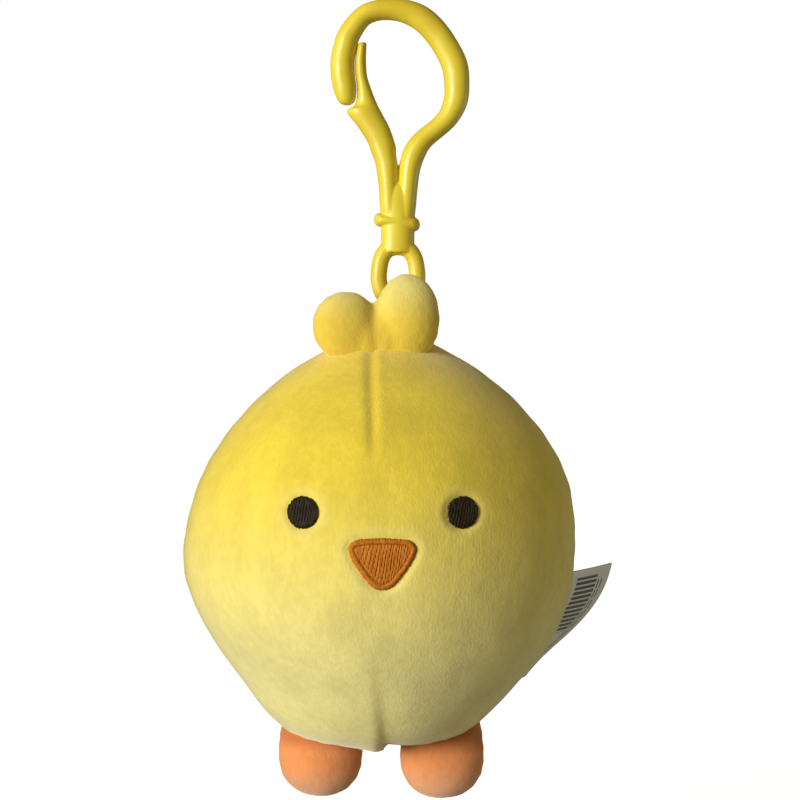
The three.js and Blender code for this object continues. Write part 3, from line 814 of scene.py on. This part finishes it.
class Needle:
    """Lays threads on the body's front or back, each one a thin tube that dips in at its ends."""

    def __init__(self, skin, seed, behind=False):
        mesh = skin.data
        self.surface = BVHTree.FromPolygons(
            [v.co.copy() for v in mesh.vertices], [p.vertices[:] for p in mesh.polygons]
        )
        self.random = random.Random(seed)
        self.side = 1 if behind else -1
        self.made = Builder()

    def touch(self, x, z):
        start = Vector((x * MM, self.side * 60 * MM, z * MM))
        place, outward, _, _ = self.surface.ray_cast(start, Vector((0, -self.side, 0)))
        return np.array(place) / MM, np.array(outward)

    def stitch(self, a, b, lift, radius=THREAD, steps=7, sink=-0.12):
        a, b = np.asarray(a, float), np.asarray(b, float)
        length = np.linalg.norm(b - a)
        if length < 0.25:
            return
        rings = []
        turn = np.linspace(0, 2 * np.pi, 6, endpoint=False)
        for share in np.linspace(0, 1, steps):
            place, outward = self.touch(*(a + (b - a) * share))
            along = np.array([b[0] - a[0], 0, b[1] - a[1]]) / length
            sideways = np.cross(outward, along)
            sideways /= np.linalg.norm(sideways)
            arch = max(0.0, math.sin(math.pi * share)) ** 0.45
            centre = place + outward * (sink + (lift - sink) * arch)
            thin = radius * (0.75 + 0.25 * arch)
            circle = np.outer(np.cos(turn), sideways) + np.outer(np.sin(turn), outward) * 0.85
            rings.append(centre + circle * thin)
        self.made.add(rings)

    def jitter(self, amount):
        return self.random.uniform(-amount, amount)

    def column(self, x, low, high, phase, lift):
        """Stitches end to end up a column, staggered like bricks from one column to the next."""
        start = low
        first = STITCH_LENGTH * phase
        while start < high - 0.2:
            end = min(high, start + (first or STITCH_LENGTH))
            first = 0
            if high - end < 0.7:
                end = high
            lean = self.jitter(0.05)
            raised = lift + self.jitter(0.04)
            self.stitch((x + lean, start - 0.1), (x - lean, end + 0.1), raised, sink=0.1)
            start = end

    def satin(self, line, stroke, lift):
        """Short stitches side by side across a line of evenly spaced points."""
        along = np.gradient(line, axis=0)
        along /= np.linalg.norm(along, axis=1)[:, None]
        for place, (dx, dz) in zip(line, along):
            half = stroke / 2 + self.jitter(0.1)
            out = np.array([dz, -dx]) * half
            slant = np.array([dx, dz]) * 0.12
            self.stitch(place - out - slant, place + out + slant, lift, steps=6)

    def object(self, name):
        return self.made.object(name)


def even_points(line, step, closed=False):
    """Points a step apart along a line."""
    if closed:
        line = np.vstack([line, line[:1]])
    run = np.r_[0, np.cumsum(np.linalg.norm(np.diff(line, axis=0), axis=1))]
    at = np.arange(0, run[-1], step)
    return np.c_[np.interp(at, run, line[:, 0]), np.interp(at, run, line[:, 1])]


def sewn(obj, material, node):
    obj.data.materials.append(material)
    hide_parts(node)
    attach(obj, "plush")


def make_eye(body, side, place):
    x, z = place
    needle = Needle(body, 5 if side == "left" else 6)
    count = int(2 * EYE_RADIUS / EYE_STEP)
    for i in range(count + 1):
        across = -EYE_RADIUS + 0.12 + (2 * EYE_RADIUS - 0.24) * i / count
        reach = math.sqrt(max(0, EYE_RADIUS**2 - across**2))
        low = z - reach + needle.jitter(0.1)
        top = z + reach + needle.jitter(0.1)
        needle.column(x + across, low, top, (i % 3) / 3, EYE_LIFT)
    name = side + "_eye_embroidery"
    sewn(needle.object(side + "_eye_stitches"), eye_thread, name)


def inside_spans(edge, x):
    """Where a vertical line crosses a closed outline, as pairs of heights."""
    hits = []
    for (x0, z0), (x1, z1) in zip(edge, np.roll(edge, -1, axis=0)):
        if (x0 <= x) != (x1 <= x):
            hits.append(z0 + (z1 - z0) * (x - x0) / (x1 - x0))
    hits.sort()
    return list(zip(hits[::2], hits[1::2]))


def make_beak(body):
    edge = smooth_line(BEAK_EDGE, 240, closed=True)
    along = np.roll(edge, -1, axis=0) - np.roll(edge, 1, axis=0)
    along /= np.linalg.norm(along, axis=1)[:, None]
    inward = np.c_[along[:, 1], -along[:, 0]]
    middle = edge + inward * BEAK_STROKE / 2
    inner = edge + inward * (BEAK_STROKE - 0.25)
    at = np.array(BEAK_AT)

    fill = Needle(body, 21)
    for i, x in enumerate(np.arange(-5.6, 5.6, STITCH_STEP)):
        for low, high in inside_spans(inner, x):
            fill.column(at[0] + x, at[1] + low, at[1] + high, (i % 3) / 3, FILL_LIFT)
    sewn(fill.object("beak_fill_stitches"), beak_thread, "beak_fill")

    border = Needle(body, 23)
    border.satin(even_points(middle, BORDER_STEP, closed=True) + at, BEAK_STROKE, BORDER_LIFT)
    sewn(border.object("beak_border_stitches"), border_thread, "beak_border")


def make_closing(body):
    """Ladder stitches across the back seam, where the body was stuffed and sewn up by hand."""
    needle = Needle(body, 31, behind=True)
    z = CLOSING_SPAN[0]
    while z > CLOSING_SPAN[1]:
        middle = body_section(z)[1]
        reach = 0.75 + needle.jitter(0.12)
        needle.stitch((middle - reach, z), (middle + reach, z + needle.jitter(0.3)), 0.75, 0.13)
        z -= CLOSING_STEP + needle.jitter(0.2)
    sewn(needle.object("closing_thread"), closing_thread, "closing_stitches")


# ---- the clip ----


def swing_gate(points, angle):
    """Turns the points above the gate's foot about its pivot, easing in as the gate bends."""
    x, z = points[:, 0] - GATE_PIVOT[0], points[:, 2] - GATE_PIVOT[1]
    turned = angle * smoothstep(points[:, 2], GATE_CUT_Z, GATE_BEND_END)
    across = GATE_PIVOT[0] + x * np.cos(turned) + z * np.sin(turned)
    return np.c_[across, points[:, 1], GATE_PIVOT[1] + z * np.cos(turned) - x * np.sin(turned)]


def make_clip():
    parts = Builder()
    parts.add(bar_rings(BOW, 220))
    parts.add(bar_rings(STEM, 60))
    gate_rings = upright_rings(GATE, 220)
    parts.add([swing_gate(ring, GATE_AJAR) for ring in gate_rings])
    x, z, length, radius = COLLAR
    turn = np.linspace(0, 2 * np.pi, 32, endpoint=False)
    rings = []
    for share in np.linspace(-1, 1, 40):
        cap = max(0.0, abs(share) * length / 2 - (length / 2 - radius)) / radius
        round_off = max(0.03, math.sqrt(max(0, 1 - cap * cap)))
        high = radius * (0.66 + 0.4 * share * share) * round_off
        deep = (2.42 - 0.8 * share * share) * round_off
        along = share * length / 2
        middle = (x + along * math.cos(COLLAR_TILT), z - along * math.sin(COLLAR_TILT))
        ring = np.c_[np.full(32, middle[0]), deep * np.cos(turn), middle[1] + high * np.sin(turn)]
        rings.append(ring)
    parts.add(rings)
    half = np.array(EYE_PATH)
    path = np.vstack([half, half[-2:0:-1] * [-1, 1]])
    path = smooth_line(path, 96, closed=True)
    along = np.roll(path, -1, axis=0) - np.roll(path, 1, axis=0)
    along /= np.linalg.norm(along, axis=1)[:, None]
    rings = []
    for (across, height), (dx, dz) in zip(path, along):
        out = np.array([dz, 0, -dx])
        centre = np.array([EYE_X + across, 0, height])
        rings.append(centre + EYE_WIRE * (np.outer(np.cos(turn), out) + np.outer(np.sin(turn), [0, 1, 0])))
    parts.add(rings, closed=True)
    clip = parts.object("clip_moulding")
    remesh(clip, CLIP_VOXEL, 4)

    whole = bmesh.new()
    whole.from_mesh(clip.data)
    above = [f for f in whole.faces if f.calc_center_median().z > GATE_CUT_Z * MM]
    seed = min(above, key=lambda f: (f.calc_center_median() - Vector(GATE_INSIDE) * MM).length)
    gate, frontier, allowed = {seed}, [seed], set(above)
    while frontier:
        face = frontier.pop()
        for edge in face.edges:
            for other in edge.link_faces:
                if other in allowed and other not in gate:
                    gate.add(other)
                    frontier.append(other)
    numbers = {f.index for f in gate}
    whole.free()
    arm = clip.copy()
    arm.data = clip.data.copy()
    arm.name = "gate_moulding"
    bpy.context.scene.collection.objects.link(arm)
    for obj, keep_gate in ((clip, False), (arm, True)):
        cut = bmesh.new()
        cut.from_mesh(obj.data)
        cut.faces.ensure_lookup_table()
        drop = [f for f in cut.faces if (f.index in numbers) != keep_gate]
        bmesh.ops.delete(cut, geom=drop, context="FACES")
        cut.to_mesh(obj.data)
        cut.free()
        if keep_gate:
            set_coordinates(obj, swing_gate(coordinates(obj) / MM, -GATE_AJAR) * MM)
        obj.data.materials.append(plastic)
    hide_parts("clip_hook")
    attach(clip, "clip")
    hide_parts("clip_gate")
    x = GATE_PIVOT[0] * MM
    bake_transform(arm)


# ---- the ribbon ----


def make_ribbon():
    """One strip: up from the crown, round the clip's wire and back down into the crown."""
    pivot = EYE_PATH[-1][1]
    foot = CROWN[1] - 3.4
    side = [[0.35, foot], [0.45, -59.0], [0.8, -57.6], [1.8, -55.6], [RIBBON_BEND, pivot - 0.3]]
    turns = np.linspace(0.25, np.pi - 0.25, 9)
    arc = [[RIBBON_BEND * math.cos(t), pivot + RIBBON_BEND * math.sin(t)] for t in turns]
    path = [[-y, z] for y, z in side] + [[-y, z] for y, z in arc] + [[y, z] for y, z in side[::-1]]
    path = smooth_line(path, 150)
    along = np.gradient(path, axis=0)
    along /= np.linalg.norm(along, axis=1)[:, None]
    straight = pivot - 1.6
    lean = (EYE_X - CROWN[0]) / (straight - CROWN[1])
    rings = []
    for (y, z), (dy, dz) in zip(path, along):
        middle = EYE_X + max(lean * min(z - straight, 0), CROWN[0] - EYE_X)
        out = np.array([0, dz, -dy])
        ring = []
        for u in np.linspace(-1, 1, 9):
            bow = 0.06 * (1 - u * u)
            lift = RIBBON_THICK / 2 * (1 - 0.35 * u**6) + bow
            ring.append([middle + u * RIBBON_WIDTH / 2, y, z] + out * lift)
        for u in np.linspace(1, -1, 9):
            ring.append([middle + u * RIBBON_WIDTH / 2, y, z] - out * RIBBON_THICK / 2 * (1 - 0.35 * u**6))
        rings.append(np.array(ring))
    parts = Builder()
    parts.add(rings)
    ribbon = parts.object("ribbon_loop")
    ribbon.data.materials.append(woven("ribbon_weave", RIBBON_YELLOW, 0.42))
    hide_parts("hanging_loop", "hanging_loop_tail")
    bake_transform(ribbon)


# ---- the label ----


def make_label():
    """Satin tape sewn into the right side seam, standing out behind the body's side with a soft curl."""
    rows, columns = 46, 28
    out = np.array(LABEL_OUT) / np.linalg.norm(LABEL_OUT)
    heights = np.linspace(LABEL_FROM, LABEL_TO, rows)
    edge = np.array([on_body(seam_angle(z), z) for z in heights])
    down = edge[-1] - edge[0]
    face = np.cross(down, out)
    face /= np.linalg.norm(face)
    chord = edge[0] + np.linspace(0, 1, rows)[:, None] * down
    sheets, uvs = [], []
    for side in (1, -1):
        for i, place in enumerate(edge):
            v = i / (rows - 1)
            for j in range(columns):
                u = j / (columns - 1)
                root = place + (chord[i] - place) * u * (1 - LABEL_BOW)
                curl = 0.6 * math.sin(u * 2.3) * (0.35 + 0.65 * v) + 0.3 * math.sin(v * 5.0) * u
                sheets.append(root + out * (0.1 + LABEL_WIDTH * u) + face * (curl + side * 0.13))
                uvs.append((u, v))
    faces, count = [], rows * columns
    for i in range(rows - 1):
        for j in range(columns - 1):
            a = i * columns + j
            faces.append([a, a + 1, a + columns + 1, a + columns])
            faces.append([count + a + columns, count + a + columns + 1, count + a + 1, count + a])
    rim = [j for j in range(columns)]
    rim += [i * columns + columns - 1 for i in range(1, rows)]
    rim += [(rows - 1) * columns + j for j in range(columns - 2, -1, -1)]
    rim += [i * columns for i in range(rows - 2, 0, -1)]
    for a, b in zip(rim, rim[1:] + rim[:1]):
        faces.append([b, a, count + a, count + b])
    label = mesh_object("care_label_tape", np.array(sheets) * MM, faces)
    layer = label.data.uv_layers.new(name="tape")
    for loop in label.data.loops:
        layer.data[loop.index].uv = uvs[loop.vertex_index]
    label.data.materials.append(label_cloth())
    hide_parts("care_label")
    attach(label, "plush")


# ---- the stage ----


def make_camera():
    data = bpy.data.cameras.new("camera")
    data.sensor_width = SENSOR
    data.lens = SENSOR * -CAMERA_AT[1] / FRAME_WIDTH
    data.clip_start, data.clip_end = 0.01, 20
    camera = bpy.data.objects.new("camera", data)
    camera.location = Vector(CAMERA_AT) * MM
    camera.rotation_euler = (math.pi / 2, 0, 0)
    bpy.context.scene.collection.objects.link(camera)
    bpy.context.scene.camera = camera


def make_light(name, kind, energy, place, size):
    data = bpy.data.lights.new(name, kind)
    data.energy = energy
    if kind == "SUN":
        data.angle = math.radians(size)
    else:
        data.size = size
    light = bpy.data.objects.new(name, data)
    light.location = place
    aim = Vector((0, 0, -0.095)) - Vector(place)
    light.rotation_euler = aim.to_track_quat("-Z", "Y").to_euler()
    bpy.context.scene.collection.objects.link(light)


def make_stage():
    half = FLOOR_SIZE / 2
    z = FLOOR_Z * MM
    corners = [(-half, -half, z), (half, -half, z), (half, half, z), (-half, half, z)]
    floor = mesh_object("floor", corners, [(0, 1, 2, 3)])
    s = Shader("pale_floor")
    seen = s.node("ShaderNodeLightPath").outputs["Is Camera Ray"]
    paint = s.mix(s.noise(60.0), (0.92, 0.92, 0.92), (0.94, 0.94, 0.94))
    s.link(s.mix(seen, (FLOOR_BOUNCE,) * 3, paint), s.surface.inputs["Base Color"])
    s.link(paint, s.surface.inputs["Emission Color"])
    s.link(s.maths("MULTIPLY", seen, FLOOR_GLOW), s.surface.inputs["Emission Strength"])
    s.constants(Roughness=0.9, Specular_IOR_Level=0.1)
    floor.data.materials.append(s.material)
    world = bpy.data.worlds.new("studio")
    world.use_nodes = True
    bpy.context.scene.world = world
    tree = world.node_tree
    fill = tree.nodes["Background"]
    fill.inputs["Color"].default_value = FILL_COLOR
    fill.inputs["Strength"].default_value = FILL_LIGHT
    seen = tree.nodes.new("ShaderNodeBackground")
    seen.inputs["Color"].default_value = (1, 1, 1, 1)
    seen.inputs["Strength"].default_value = 1.0
    rays = tree.nodes.new("ShaderNodeLightPath")
    blend = tree.nodes.new("ShaderNodeMixShader")
    tree.links.new(rays.outputs["Is Camera Ray"], blend.inputs[0])
    tree.links.new(fill.outputs[0], blend.inputs[1])
    tree.links.new(seen.outputs[0], blend.inputs[2])
    tree.links.new(blend.outputs[0], tree.nodes["World Output"].inputs["Surface"])
    make_light("key", "SUN", KEY_LIGHT, KEY_FROM, KEY_ANGLE)
    make_light("low", "AREA", LOW_LIGHT, LOW_FROM, LAMP_SIZE)
    make_light("rim", "AREA", RIM_LIGHT, RIM_FROM, LAMP_SIZE)
    bpy.context.scene.view_settings.view_transform = "Standard"


make_camera()
make_stage()
plastic = moulded_plastic()
eye_thread = thread("eye_floss", EYE_BLACK, (0.035, 0.022, 0.007), (1, 1, 0.2))
border_thread = thread("border_floss", BORDER_ORANGE, BEAK_BRIGHT)
beak_thread = thread("beak_floss", BEAK_ORANGE, BEAK_BRIGHT, (0.45, 1, 0.12))
closing_thread = thread("closing_floss", (0.62, 0.46, 0.07), (0.80, 0.62, 0.14))
body_piece = make_body()
make_tuft()
for foot_side, (foot_x, foot_bottom) in FEET.items():
    make_foot(foot_side, foot_x, foot_bottom)
for eye_side, eye_place in EYES.items():
    make_eye(body_piece, eye_side, eye_place)
make_beak(body_piece)
make_closing(body_piece)
make_clip()
make_ribbon()
make_label()
